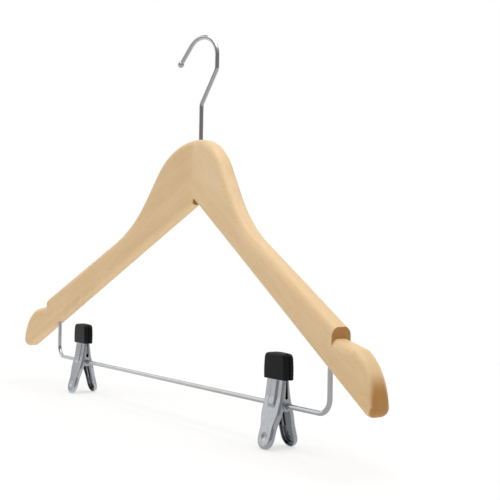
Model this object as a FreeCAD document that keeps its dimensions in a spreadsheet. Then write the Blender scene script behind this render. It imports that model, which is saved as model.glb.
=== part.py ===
import FreeCAD, Part
import math
import os
import Sketcher

# A contoured wooden hanger with a wire bar and two spring clips. Millimetres and degrees.
# +Z is up, +X runs along the hanger, and its tips bend forward, towards -Y.
# The origin is the seat of the hook: the inside top of its bow, where it hangs on a rail.

SIZES = {
    # the wooden board, two arms joined at the middle
    "board_width": 445.0,
    "board_thickness": 13.0,
    "plan_angle": 8.6,
    "plan_bend_radius": 36.0,
    "crown_radius": 51.5,
    "flank_angle": 53.5,
    "flank_length": 24.5,
    "shoulder_radius": 104.0,
    "arm_top_angle": 26.8,
    "arm_low_angle": 28.6,
    "crotch_depth": 42.5,
    "tip_radius": 32.5,
    "tip_corner_radius": 5.0,
    "edge_round": 4.5,
    "notch_inset": 37.4,
    "notch_depth": 6.2,
    "tongue_length": 12.0,
    "tongue_thickness": 4.0,
    "tongue_margin": 7.0,
    # the hook and its washer
    "hook_wire": 3.2,
    "hook_rise": 72.7,
    "shank_rise": 25.1,
    "bow_radius": 14.1,
    "slant_angle": 30.7,
    "neck_bend_radius": 7.0,
    "nose_angle": 40.3,
    "nose_length": 15.4,
    "ball_diameter": 4.8,
    "hook_turn": 15.0,
    "head_diameter": 6.4,
    "head_height": 2.0,
    "counterbore_diameter": 10.0,
    "counterbore_depth": 7.0,
    "washer_diameter": 9.0,
    "washer_thickness": 0.8,
    "hook_play": 0.1,
    "swivel_clearance": 0.06,
    # the wire bar
    "bar_wire": 3.0,
    "bar_span": 350.0,
    "bar_depth": 166.0,
    "bar_corner_radius": 9.0,
    "bar_seat": 9.0,
    # the clips, alike on both sides, each placed in from the outermost place that it can slide to
    "clip_place": 36.5,
    "tube_wall": 0.6,
    "tube_clearance": 0.05,
    "tube_play": 0.1,
    "rim_width": 0.8,
    "rim_thickness": 0.5,
    "sheet": 0.8,
    "lever_width": 17.0,
    "finger_width": 13.0,
    "finger_splay": 15.0,
    "finger_drop": 24.4,
    "finger_flange": 3.0,
    "shoulder_drop": 5.0,
    "taper_height": 7.0,
    "ear_radius": 3.4,
    "ear_clearance": 0.2,
    "bend_rise": 4.0,
    "jaw_rise": 28.1,
    "dimple_radius": 4.0,
    "dimple_depth": 0.3,
    "dimple_height": 6.5,
    "cap_width": 20.5,
    "cap_height": 15.0,
    "cap_wall": 1.0,
    "cap_lip": 1.5,
    "cap_crest": 1.3,
    "cap_corner_radius": 3.0,
    "cap_edge_round": 0.8,
    "jaw_gap": 0.2,
    "spring_wire": 1.0,
    "coil_radius": 3.4,
    "coil_gap": 0.5,
    "leg_length": 15.0,
    "leg_clearance": 0.1,
    # what every cut runs past the surface that it opens
    "overrun": 2.0,
}
COIL_TURNS = 3
ARC_STEPS = 24

doc = FreeCAD.newDocument("skirt_hanger")
sheet = doc.addObject("Spreadsheet::Sheet", "Sizes")
for row, (alias, number) in enumerate(SIZES.items(), start=1):
    sheet.set(f"A{row}", alias)
    sheet.set(f"B{row}", str(number))
    sheet.setAlias(f"B{row}", alias)
doc.recompute()


class Term:
    """A size of the sheet, or a formula of such sizes: its value now and its text."""

    def __init__(self, value, text):
        self.value = value
        self.text = text

    def __add__(self, other):
        other = term(other)
        return Term(self.value + other.value, f"({self.text} + {other.text})")

    def __sub__(self, other):
        other = term(other)
        return Term(self.value - other.value, f"({self.text} - {other.text})")

    def __mul__(self, other):
        other = term(other)
        return Term(self.value * other.value, f"({self.text} * {other.text})")

    def __truediv__(self, other):
        other = term(other)
        return Term(self.value / other.value, f"({self.text} / {other.text})")

    def __neg__(self):
        return Term(-self.value, f"(0 - {self.text})")

    __radd__ = __add__
    __rmul__ = __mul__


def term(number):
    """A number as a term, and a term as it is."""
    if isinstance(number, Term):
        return number
    return Term(float(number), repr(number) if number >= 0 else f"(0 - {repr(-number)})")


def size(alias):
    """The named size of the sheet."""
    return Term(float(sheet.get(alias)), f"Sizes.{alias}")


def sine(angle):
    return Term(math.sin(math.radians(angle.value)), f"sin({angle.text})")


def cosine(angle):
    return Term(math.cos(math.radians(angle.value)), f"cos({angle.text})")


def tangent(angle):
    return Term(math.tan(math.radians(angle.value)), f"tan({angle.text})")


def root(area):
    return Term(math.sqrt(area.value), f"sqrt({area.text})")


def lesser(one, other):
    return Term(min(one.value, other.value), f"min({one.text}; {other.text})")


def bind(thing, prop, value):
    """Ties a property of an object to a formula of the sheet."""
    thing.setExpression(prop, term(value).text)


def place(thing, x, y, z):
    """Moves a finished piece to its place in the hanger."""
    bind(thing, "Placement.Base.x", x)
    bind(thing, "Placement.Base.y", y)
    bind(thing, "Placement.Base.z", z)


def vector(point):
    return FreeCAD.Vector(point[0].value, point[1].value, 0)


def arc_edge(start, end, bend):
    """The arc between two points with a signed radius: above zero it turns left on its way."""
    chord = end - start
    radius = abs(bend)
    left = FreeCAD.Vector(-chord.y, chord.x, 0).normalize()
    reach = math.sqrt(max(radius ** 2 - (chord.Length / 2) ** 2, 0))
    middle = (start + end) * 0.5
    centre = middle + left * (reach if bend > 0 else -reach)
    first = math.atan2(start.y - centre.y, start.x - centre.x)
    last = math.atan2(end.y - centre.y, end.x - centre.x)
    if bend < 0:
        first, last = last, first
    circle = Part.Circle(centre, FreeCAD.Vector(0, 0, 1), radius)
    return Part.ArcOfCircle(circle, first, last if last > first else last + 2 * math.pi)


def draw(sketch, points, closed=True):
    """Draws an outline: (x, y) begins a straight side, (x, y, radius, turn) an arc, turn 1 left or -1 right.

    Every corner is tied to the sheet by its two distances from the sketch's origin, every arc by its radius.
    """
    count = len(points)
    points = [tuple(term(v) for v in point[:3]) + tuple(point[3:]) for point in points]
    sides = count if closed else count - 1
    ends = []
    for index in range(sides):
        here, there = points[index], points[(index + 1) % count]
        if len(here) == 2:
            sketch.addGeometry(Part.LineSegment(vector(here), vector(there)), False)
            ends.append((1, 2))
        else:
            sketch.addGeometry(arc_edge(vector(here), vector(there), here[2].value * here[3]), False)
            ends.append((1, 2) if here[3] > 0 else (2, 1))
    base = sketch.GeometryCount - sides
    for index in range(sides if closed else sides - 1):
        after = (index + 1) % sides
        sketch.addConstraint(Sketcher.Constraint("Coincident", base + index, ends[index][1],
                                                 base + after, ends[after][0]))
    for index in range(count):
        side, end = (index, 0) if index < sides else (index - 1, 1)
        for kind, value in zip(("DistanceX", "DistanceY"), points[index]):
            number = sketch.addConstraint(
                Sketcher.Constraint(kind, -1, 1, base + side, ends[side][end], value.value))
            bind(sketch, f"Constraints[{number}]", value)
    for index in range(sides):
        if len(points[index]) > 2:
            number = sketch.addConstraint(
                Sketcher.Constraint("Radius", base + index, points[index][2].value))
            bind(sketch, f"Constraints[{number}]", points[index][2])


def ring(sketch, x, y, diameter):
    """Draws a circle, tied to the sheet by its centre and its diameter."""
    x, y, diameter = term(x), term(y), term(diameter)
    centre = FreeCAD.Vector(x.value, y.value, 0)
    circle = sketch.addGeometry(Part.Circle(centre, FreeCAD.Vector(0, 0, 1), diameter.value / 2), False)
    for kind, value in (("DistanceX", x), ("DistanceY", y)):
        number = sketch.addConstraint(Sketcher.Constraint(kind, -1, 1, circle, 3, value.value))
        bind(sketch, f"Constraints[{number}]", value)
    number = sketch.addConstraint(Sketcher.Constraint("Diameter", circle, diameter.value))
    bind(sketch, f"Constraints[{number}]", diameter)


def plane_sketch(body, name, role, height=None):
    """A sketch on an origin plane of its body, or that height above it."""
    sketch = body.newObject("Sketcher::SketchObject", name)
    plane = [p for p in body.Origin.OriginFeatures if p.Role == role][0]
    sketch.AttachmentSupport = [(plane, "")]
    sketch.MapMode = "FlatFace"
    if height is not None:
        bind(sketch, "AttachmentOffset.Base.z", height)
    return sketch


def new_body(label):
    body = doc.addObject("PartDesign::Body", label)
    body.Label = label
    return body


def pad(body, name, sketch, length, midplane=True, reverse=False):
    feature = body.newObject("PartDesign::Pad", name)
    feature.Profile = sketch
    bind(feature, "Length", length)
    feature.Midplane = midplane
    feature.Reversed = reverse
    doc.recompute()
    return feature


def pocket(body, name, sketch, length=None, midplane=True, reverse=False):
    """Cuts a sketch out of the body, right through it or to a length, and makes sure that it cut."""
    before = body.Shape.Volume
    feature = body.newObject("PartDesign::Pocket", name)
    feature.Profile = sketch
    feature.Midplane = midplane
    feature.Reversed = reverse
    if length is None:
        feature.Type = "ThroughAll"
    else:
        bind(feature, "Length", length)
    doc.recompute()
    if not body.Shape.Volume < before:
        raise RuntimeError(f"{body.Label}: {name} cut nothing")
    return feature


# Places that the pieces share
half_width = size("board_width") / 2
half_thick = size("board_thickness") / 2
crown_height = size("hook_wire") / 2 - size("hook_rise")
hook_seat = size("counterbore_depth") - size("crotch_depth")
bar_half = size("bar_span") / 2
plan_bend, plan_turn = size("plan_bend_radius"), size("plan_angle")


def plan_line(x):
    """Where the middle of an arm's thickness lies in plan, past the bend at the middle of the board."""
    return plan_bend * cosine(plan_turn) - plan_bend - (x - plan_bend * sine(plan_turn)) * tangent(plan_turn)


bar_forward = plan_line(bar_half)
bar_height = crown_height - size("bar_depth")
tube_radius = size("bar_wire") / 2 + size("tube_clearance") + size("tube_wall")
splay = size("finger_splay")


def low_edge(x):
    """Height of an arm's straight lower edge, from the crown of the board."""
    return -(size("crotch_depth") + x * tangent(size("arm_low_angle")))


def off_middle(point):
    """How far a point lies behind the middle of the board's thickness, square to it."""
    x, y, bend, turn = abs(point.x), point.y, plan_bend.value, math.radians(plan_turn.value)
    if math.atan2(x, y + bend) < turn:
        return math.hypot(x, y + bend) - bend
    past_bend = x - bend * math.sin(turn)
    return past_bend * math.sin(turn) + (y + bend - bend * math.cos(turn)) * math.cos(turn)


# The two arms of the board, glued with a tongue at the middle, where the hook's bore passes through both


def arm(label, side):
    """One arm: the outline in front view, cut to a bent plank, with soft edges, a strap notch and bores."""
    body = new_body(label)
    crown, shoulder = size("crown_radius"), size("shoulder_radius")
    flank, slope = size("flank_angle"), size("arm_top_angle")
    crown_end = (crown * sine(flank), crown * cosine(flank) - crown)
    flank_end = (crown_end[0] + size("flank_length") * cosine(flank),
                 crown_end[1] - size("flank_length") * sine(flank))
    shoulder_end = (flank_end[0] + shoulder * (sine(flank) - sine(slope)),
                    flank_end[1] - shoulder * (cosine(slope) - cosine(flank)))
    tip, corner, fall = size("tip_radius"), size("tip_corner_radius"), size("arm_low_angle")

    def top_edge(x):
        return shoulder_end[1] - (x - shoulder_end[0]) * tangent(slope)

    # the tip's arc leaves the straight top edge and runs into the small arc of the lower corner
    corner_x = half_width - corner
    corner_z = low_edge(corner_x) + corner / cosine(fall)
    sunk = tip - (top_edge(corner_x) - corner_z) * cosine(slope)
    back = root((tip - corner) * (tip - corner) - sunk * sunk)
    tip_x = corner_x - back * cosine(slope) - sunk * sine(slope)
    tip_z = corner_z + back * sine(slope) - sunk * cosine(slope)
    tip_start = (tip_x + tip * sine(slope), tip_z + tip * cosine(slope))
    stretch = tip / (tip - corner)
    tip_end = (tip_x + (corner_x - tip_x) * stretch, tip_z + (corner_z - tip_z) * stretch)
    outline = [
        (0, low_edge(term(0))),
        (0, 0, crown, -side),
        (side * crown_end[0], crown_end[1]),
        (side * flank_end[0], flank_end[1], shoulder, side),
        (side * shoulder_end[0], shoulder_end[1]),
        (side * tip_start[0], tip_start[1], tip, -side),
        (side * tip_end[0], tip_end[1], corner, -side),
        (side * (corner_x - corner * sine(fall)), corner_z - corner * cosine(fall)),
    ]
    front_view = plane_sketch(body, f"{label}_outline", "XZ_Plane")
    draw(front_view, outline)
    reach = size("board_thickness") - plan_line(half_width)
    pad(body, f"{label}_blank", front_view, reach * 2)

    # the plan of the plank: what lies before its hollow face and behind its round face goes
    past = half_width + size("overrun")
    for name, offset, far in (("hollow_face", -half_thick, -(reach + size("overrun"))),
                              ("round_face", half_thick, reach + size("overrun"))):
        radius = plan_bend + offset
        near_y = root(radius * radius - size("overrun") * size("overrun")) - plan_bend
        bend_end = (radius * sine(plan_turn), radius * cosine(plan_turn) - plan_bend)
        edge_y = bend_end[1] - (past - bend_end[0]) * tangent(plan_turn)
        plan = plane_sketch(body, f"{label}_{name}", "XY_Plane")
        draw(plan, [(-side * size("overrun"), near_y, radius, -side), (side * bend_end[0], bend_end[1]),
                    (side * past, edge_y), (side * past, far), (-side * size("overrun"), far)])
        pocket(body, f"{label}_{name}_cut", plan)

    # the notch for straps: an upright step, and a floor that runs out on the rounded tip
    step_x = half_width - size("notch_inset")
    notch = plane_sketch(body, f"{label}_notch", "XZ_Plane")
    draw(notch, [
        (side * step_x, top_edge(step_x) + size("overrun")),
        (side * step_x, top_edge(step_x) - size("notch_depth")),
        (side * tip_start[0], tip_start[1]),
        (side * tip_start[0], top_edge(step_x) + size("overrun")),
    ])
    pocket(body, f"{label}_notch_cut", notch)

    # soft edges all round, but not on the upright lines: the glued face, the end of the bend, the notch's step
    blank = body.Tip
    close = half_thick.value / 1000
    names = []
    for index, edge in enumerate(blank.Shape.Edges, start=1):
        middle = edge.valueAt((edge.FirstParameter + edge.LastParameter) / 2)
        run = abs(edge.Vertexes[0].X - edge.Vertexes[-1].X)
        if abs(abs(off_middle(middle)) - half_thick.value) < close and run > close:
            names.append(f"Edge{index}")
    soft = body.newObject("PartDesign::Fillet", f"{label}_soft_edges")
    soft.Base = (blank, names)
    bind(soft, "Radius", size("edge_round"))
    doc.recompute()

    # the blind bore for the end of the bar
    bar_end = low_edge(bar_half) + size("bar_seat")
    bore = plane_sketch(body, f"{label}_bar_bore", "XY_Plane", bar_end)
    ring(bore, side * bar_half, bar_forward, size("bar_wire"))
    pocket(body, f"{label}_bar_bore_cut", bore, midplane=False)

    # the tongue on one arm and the slot for it in the other
    tongue_top = -size("tongue_margin")
    tongue_foot = size("tongue_margin") - size("crotch_depth")
    joint = plane_sketch(body, f"{label}_joint", "XZ_Plane")
    draw(joint, [(0, tongue_foot), (0, tongue_top), (size("tongue_length"), tongue_top),
                 (size("tongue_length"), tongue_foot)])
    if side > 0:
        pocket(body, f"{label}_slot", joint, size("tongue_thickness"))
    else:
        pad(body, f"{label}_tongue", joint, size("tongue_thickness"))

    # the bore of the hook and the counterbore for its head
    shaft = plane_sketch(body, f"{label}_hook_bore", "XY_Plane")
    ring(shaft, 0, 0, size("hook_wire") + size("swivel_clearance") * 2)
    pocket(body, f"{label}_hook_bore_cut", shaft)
    recess = plane_sketch(body, f"{label}_recess", "XY_Plane", hook_seat)
    ring(recess, 0, 0, size("counterbore_diameter"))
    pocket(body, f"{label}_recess_cut", recess, midplane=False)
    place(body, 0, 0, crown_height)
    return body


right_arm = arm("right_arm", 1)
left_arm = arm("left_arm", -1)

# The swivel hook: one wire with an upset head below the washer and a ball at its nose

hook = new_body("hook")
hook_foot = hook_seat - size("washer_thickness") - size("hook_play") - size("head_height")
bow, slant, nose = size("bow_radius"), size("slant_angle"), size("nose_angle")
bow_height = size("hook_rise") - bow - hook_foot
neck_height = size("shank_rise") - hook_foot
upright_height = neck_height + bow / tangent(slant)
neck_run = size("neck_bend_radius") * tangent(slant / 2)
nose_end = (-(bow * cosine(nose) + size("nose_length") * sine(nose)),
            bow_height + bow * sine(nose) - size("nose_length") * cosine(nose))
hook_path = plane_sketch(hook, "hook_path", "XZ_Plane")
draw(hook_path, [
    (0, 0),
    (0, neck_height - neck_run, size("neck_bend_radius"), -1),
    (neck_run * sine(slant), neck_height + neck_run * cosine(slant)),
    (bow - neck_run * sine(slant), upright_height - neck_run * cosine(slant), size("neck_bend_radius"), 1),
    (bow, upright_height + neck_run),
    (bow, bow_height, bow, 1),
    (-(bow * cosine(nose)), bow_height + bow * sine(nose)),
    nose_end,
], closed=False)
hook_round = plane_sketch(hook, "hook_round", "XY_Plane")
ring(hook_round, 0, 0, size("hook_wire"))
hook_pipe = hook.newObject("PartDesign::AdditivePipe", "hook_pipe")
hook_pipe.Profile = hook_round
hook_pipe.Spine = hook_path
doc.recompute()
head_round = plane_sketch(hook, "head_round", "XY_Plane")
ring(head_round, 0, 0, size("head_diameter"))
pad(hook, "hook_head", head_round, size("head_height"), midplane=False)
ball = hook.newObject("PartDesign::AdditiveSphere", "hook_ball")
bind(ball, "Radius", size("ball_diameter") / 2)
bind(ball, "Placement.Base.x", nose_end[0])
bind(ball, "Placement.Base.z", nose_end[1])
bind(hook, "Placement.Rotation.Angle", size("hook_turn"))
place(hook, 0, 0, crown_height + hook_foot)

# The washer that carries the board on the hook's head

hook_washer = new_body("hook_washer")
washer_round = plane_sketch(hook_washer, "washer_round", "XY_Plane")
ring(washer_round, 0, 0, size("washer_diameter"))
ring(washer_round, 0, 0, size("hook_wire") + size("swivel_clearance") * 2)
pad(hook_washer, "washer_plate", washer_round, size("washer_thickness"), midplane=False)
place(hook_washer, 0, 0, crown_height + hook_seat - size("washer_thickness"))

# The bar: one wire, bent up at both ends into the arms

clip_bar = new_body("clip_bar")
bar_rise = low_edge(bar_half) + size("bar_seat") + size("bar_depth")
bend = size("bar_corner_radius")
bar_path = plane_sketch(clip_bar, "bar_path", "XZ_Plane")
draw(bar_path, [
    (0, 0),
    (0, bend - bar_rise, bend, 1),
    (bend, -bar_rise),
    (size("bar_span") - bend, -bar_rise, bend, 1),
    (size("bar_span"), bend - bar_rise),
    (size("bar_span"), 0),
], closed=False)
bar_round = plane_sketch(clip_bar, "bar_round", "XY_Plane")
ring(bar_round, 0, 0, size("bar_wire"))
bar_pipe = clip_bar.newObject("PartDesign::AdditivePipe", "bar_pipe")
bar_pipe.Profile = bar_round
bar_pipe.Spine = bar_path
place(clip_bar, -bar_half, bar_forward, bar_height + bar_rise)

# One clip, drawn about the axis of the bar: its jaws point up, its finger ends down


def extrude(name, role, points, length):
    """A prism across a plane through the clip's axis: XZ or YZ, as long on either side."""
    sketch = doc.addObject("Sketcher::SketchObject", f"{name}_sketch")
    turn = FreeCAD.Rotation(FreeCAD.Vector(1, 0, 0), 90)
    if role == "YZ":
        turn = FreeCAD.Rotation(FreeCAD.Vector(0, 0, 1), 90) * turn
    sketch.Placement = FreeCAD.Placement(FreeCAD.Vector(0, 0, 0), turn)
    draw(sketch, points)
    prism = doc.addObject("Part::Extrusion", name)
    prism.Base = sketch
    prism.DirMode = "Normal"
    prism.Solid = True
    prism.Symmetric = True
    bind(prism, "LengthFwd", length)
    return prism


def boolean(kind, name, base, tool):
    result = doc.addObject(f"Part::{kind}", name)
    result.Base = base
    result.Tool = tool
    return result


def finger_point(offset, run, side):
    """A point beside the axis: offset from it across the splayed finger, and run down along the finger."""
    return (side * (offset * cosine(splay) + run * sine(splay)), offset * sine(splay) - run * cosine(splay))


inner_offset = size("coil_radius") + size("spring_wire") / 2 + size("leg_clearance")
outer_offset = inner_offset + size("sheet")
flange_offset = outer_offset - size("finger_flange")
jaw_inner = size("jaw_gap") / 2 + size("cap_lip")
jaw_outer = jaw_inner + size("sheet")
jaw_top = size("jaw_rise") + size("cap_crest")
cap_foot = jaw_top - size("cap_height")


def lever(label, side, width, x):
    """A pressed channel: jaw blade, ears round the tube, splayed finger with turned edges and a thumb dimple."""
    finger_run = (size("finger_drop") + outer_offset * sine(splay)) / cosine(splay)
    bend_run = (inner_offset * sine(splay) - size("bend_rise")) / cosine(splay)
    flange_run = root(size("ear_radius") * size("ear_radius") - flange_offset * flange_offset)
    ear_top_run = root(size("ear_radius") * size("ear_radius") - jaw_inner * jaw_inner)
    foot = finger_point(outer_offset, finger_run, side)
    foot_inner = finger_point(flange_offset, finger_run, side)
    low = -size("finger_drop")
    far = size("lever_width")
    profile = [
        (side * jaw_outer, size("jaw_rise")),
        (side * jaw_inner, size("jaw_rise")),
        (side * jaw_inner, ear_top_run, size("ear_radius"), side),
        (-side * size("ear_radius"), 0, size("ear_radius"), side),
        finger_point(flange_offset, flange_run, side),
        foot_inner,
        foot,
        finger_point(outer_offset, bend_run, side),
        (side * jaw_outer, cap_foot),
    ]
    hollow = [
        (side * jaw_inner, size("jaw_rise")),
        (-side * far, size("jaw_rise")),
        (-side * far, low * 2),
        finger_point(inner_offset, finger_run * 2, side),
        finger_point(inner_offset, bend_run, side),
        (side * jaw_inner, cap_foot),
    ]
    half, finger = width / 2, size("finger_width") / 2
    shoulder_z = -size("shoulder_drop")
    finger_z = shoulder_z - size("taper_height")

    def front_view(inset):
        wide, slim = half - inset, finger - inset
        return [
            (-wide, size("jaw_rise")),
            (-wide, shoulder_z),
            (-slim, finger_z),
            (-slim, low + finger, slim, 1),
            (0, low + inset, slim, 1),
            (slim, low + finger),
            (slim, finger_z),
            (wide, shoulder_z),
            (wide, size("jaw_rise")),
        ]

    strip = extrude(f"{label}_strip", "YZ", profile, width + size("overrun"))
    face = extrude(f"{label}_face", "XZ", front_view(term(0)), far * 4)
    blank = boolean("Common", f"{label}_blank", strip, face)
    inside = extrude(f"{label}_inside", "YZ", hollow, width + size("overrun"))
    inner_face = extrude(f"{label}_inner_face", "XZ", front_view(size("sheet")), far * 4)
    channel = boolean("Common", f"{label}_channel", inside, inner_face)
    shell = boolean("Cut", f"{label}_shell", blank, channel)
    bore = doc.addObject("Part::Cylinder", f"{label}_bore")
    bind(bore, "Radius", tube_radius + size("swivel_clearance"))
    bind(bore, "Height", size("lever_width") * 2)
    bore.Placement = FreeCAD.Placement(
        FreeCAD.Vector(0, 0, 0), FreeCAD.Rotation(FreeCAD.Vector(0, 1, 0), 90))
    bind(bore, "Placement.Base.x", -size("lever_width"))
    bored = boolean("Cut", f"{label}_bored", shell, bore)
    dimple = doc.addObject("Part::Sphere", f"{label}_dimple")
    bind(dimple, "Radius", size("dimple_radius"))
    dimple_run = finger_run - size("dimple_height")
    spot = finger_point(outer_offset + size("dimple_radius") - size("dimple_depth"), dimple_run, side)
    place(dimple, 0, spot[0], spot[1])
    piece = boolean("Cut", label, bored, dimple)
    piece.Label = label
    place(piece, x, bar_forward, bar_height)
    return piece


def jaw_cap(label, side, width, x):
    """A soft sleeve pushed over the blade of one jaw, with a thicker lip on the gripping side."""
    body = new_body(label)
    half, corner = size("cap_width") / 2, size("cap_corner_radius")
    top = size("cap_height")
    face = plane_sketch(body, f"{label}_face", "XZ_Plane")
    draw(face, [
        (-half, 0), (half, 0),
        (half, top - corner, corner, 1), (half - corner, top),
        (corner - half, top, corner, 1), (-half, top - corner),
    ])
    depth = size("cap_lip") + size("sheet") + size("cap_wall")
    block = pad(body, f"{label}_block", face, depth)
    soft = body.newObject("PartDesign::Fillet", f"{label}_soft_edges")
    outside = side * depth.value / 2
    rim = [f"Edge{i}" for i, e in enumerate(block.Shape.Edges, start=1)
           if all(abs(v.Y - outside) < size("overrun").value / 1000 for v in e.Vertexes)]
    soft.Base = (block, rim)
    bind(soft, "Radius", size("cap_edge_round"))
    doc.recompute()
    slot = plane_sketch(body, f"{label}_slot", "XY_Plane")
    near = side * (size("cap_lip") - depth / 2)
    away = side * (size("cap_lip") + size("sheet") - depth / 2)
    draw(slot, [(-(width / 2), near), (width / 2, near), (width / 2, away), (-(width / 2), away)])
    pocket(body, f"{label}_slot_cut", slot, top - size("cap_crest"), midplane=False, reverse=True)
    place(body, x, bar_forward + side * (size("jaw_gap") / 2 + depth / 2), bar_height + cap_foot)
    return body


def pivot_tube(label, x):
    """The hollow rivet that holds the levers together and runs on the bar."""
    body = new_body(label)
    inner = size("bar_wire") / 2 + size("tube_clearance")
    rim = tube_radius + size("rim_width")
    neck = size("lever_width") / 2 + size("tube_play")
    end = neck + size("rim_thickness")
    section = plane_sketch(body, f"{label}_section", "XZ_Plane")
    draw(section, [(-end, inner), (end, inner), (end, rim), (neck, rim), (neck, tube_radius),
                   (-neck, tube_radius), (-neck, rim), (-end, rim)])
    turned = body.newObject("PartDesign::Revolution", f"{label}_turned")
    turned.Profile = section
    turned.ReferenceAxis = (section, ["H_Axis"])
    turned.Angle = 360
    doc.recompute()
    place(body, x, bar_forward, bar_height)
    return body


# The torsion spring: a coil loose on the tube, with a straight leg down each finger


def bend_between(start, heading, end):
    """The arc that leaves a point along a heading and ends at another point."""
    chord = end - start
    along = FreeCAD.Vector(chord).normalize()
    across = heading - along * heading.dot(along)
    lean = math.acos(max(-1.0, min(1.0, heading.dot(along))))
    middle = (start + end) * 0.5 + across.normalize() * (chord.Length / 2 * math.tan(lean / 2))
    return Part.Arc(start, middle, end)


def pair_of_arcs(start, start_heading, end, end_heading):
    """Two arcs that join two points and their headings without a kink."""
    span = end - start
    turn = start_heading + end_heading
    factor = 2 * (1 - start_heading.dot(end_heading))
    cross = span.dot(turn)
    reach = (math.sqrt(cross ** 2 + factor * span.dot(span)) - cross) / factor
    joint = (start + end + (start_heading - end_heading) * reach) * 0.5
    first = bend_between(start, start_heading, joint)
    second = bend_between(end, end_heading * -1, joint)
    return first, Part.Arc(joint, second.value((second.FirstParameter + second.LastParameter) / 2), end)


def spring_wire():
    """The spring's path, its wire's solid and the least gap between turns, measured on points."""
    radius, wire = size("coil_radius").value, size("spring_wire").value
    lead = wire + size("coil_gap").value
    lean = splay.value
    first, last = lean, 180 - lean + 360 * COIL_TURNS
    quarters = 4 * COIL_TURNS + 2
    middle = (first + last) / 2

    def coil_point(angle):
        turn = math.radians(angle)
        return FreeCAD.Vector((angle - middle) / 360 * lead, radius * math.cos(turn), radius * math.sin(turn))

    def coil_heading(angle):
        turn = math.radians(angle)
        return FreeCAD.Vector(lead / (2 * math.pi), -radius * math.sin(turn), radius * math.cos(turn)).normalize()

    stops = [first + (last - first) * step / quarters for step in range(quarters + 1)]
    leg = size("leg_length").value
    rear_end = coil_point(first) - coil_heading(first) * leg
    front_end = coil_point(last) + coil_heading(last) * leg
    edges = [Part.LineSegment(rear_end, coil_point(first)).toShape()]
    for here, there in zip(stops, stops[1:]):
        for arc in pair_of_arcs(coil_point(here), coil_heading(here), coil_point(there), coil_heading(there)):
            edges.append(arc.toShape())
    edges.append(Part.LineSegment(coil_point(last), front_end).toShape())
    path = Part.Wire(edges)
    section = Part.Wire([Part.Circle(rear_end, coil_heading(first), wire / 2).toShape()])
    solid = path.makePipeShell([section], True, False)
    turns = [coil_point(first + (last - first) * step / (ARC_STEPS * quarters))
             for step in range(ARC_STEPS * quarters + 1)]
    window = int(ARC_STEPS * quarters * 180 / (last - first))
    gap = min(a.distanceToPoint(b) for i, a in enumerate(turns) for b in turns[i + window:]) - wire
    exact = math.pi * wire ** 2 / 4 * path.Length
    print(f"spring: least gap {gap:.2f} mm, volume {solid.Volume:.2f} of {exact:.2f} mm3")
    return solid


def clip(name, x):
    """All pieces of one clip, at its place on the bar."""
    rear_width = size("lever_width") - (size("sheet") + size("ear_clearance")) * 2
    spring = doc.addObject("Part::Feature", f"{name}_spring")
    spring.Shape = spring_wire()
    spring.Label = f"{name}_spring"
    place(spring, x, bar_forward, bar_height)
    return [
        pivot_tube(f"{name}_pivot_tube", x),
        lever(f"{name}_front_lever", -1, size("lever_width"), x),
        lever(f"{name}_rear_lever", 1, rear_width, x),
        jaw_cap(f"{name}_front_jaw_cap", -1, size("lever_width"), x),
        jaw_cap(f"{name}_rear_jaw_cap", 1, rear_width, x),
        spring,
    ]


# A clip slides out as far as the bends of the bar and the slope of the arms above its jaws let it
bar_straight = bar_half - size("bar_corner_radius")
jaw_room = (size("bar_depth") - jaw_top - size("crotch_depth")) / tangent(size("arm_low_angle"))
clip_reach = lesser(bar_straight, jaw_room)
clip_x = clip_reach - size("clip_place")
pieces = [right_arm, left_arm, hook, hook_washer, clip_bar]
pieces += clip("left", -clip_x)
pieces += clip("right", clip_x)

# Every piece is sound before any of them is written

doc.recompute()
for thing in doc.Objects:
    if "Invalid" in thing.State or "Error" in thing.State:
        raise RuntimeError(f"{thing.Label} failed: {thing.State}")
for piece in pieces:
    if piece.Shape.isNull() or not piece.Shape.isValid():
        raise RuntimeError(f"{piece.Label} has no sound shape")
os.makedirs("parts", exist_ok=True)
for piece in pieces:
    print(f"{piece.Label}: {len(piece.Shape.Solids)} solid, {piece.Shape.Volume:.1f} mm3")
    piece.Shape.exportStep(f"parts/{piece.Label}.step")
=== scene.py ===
import math

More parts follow.
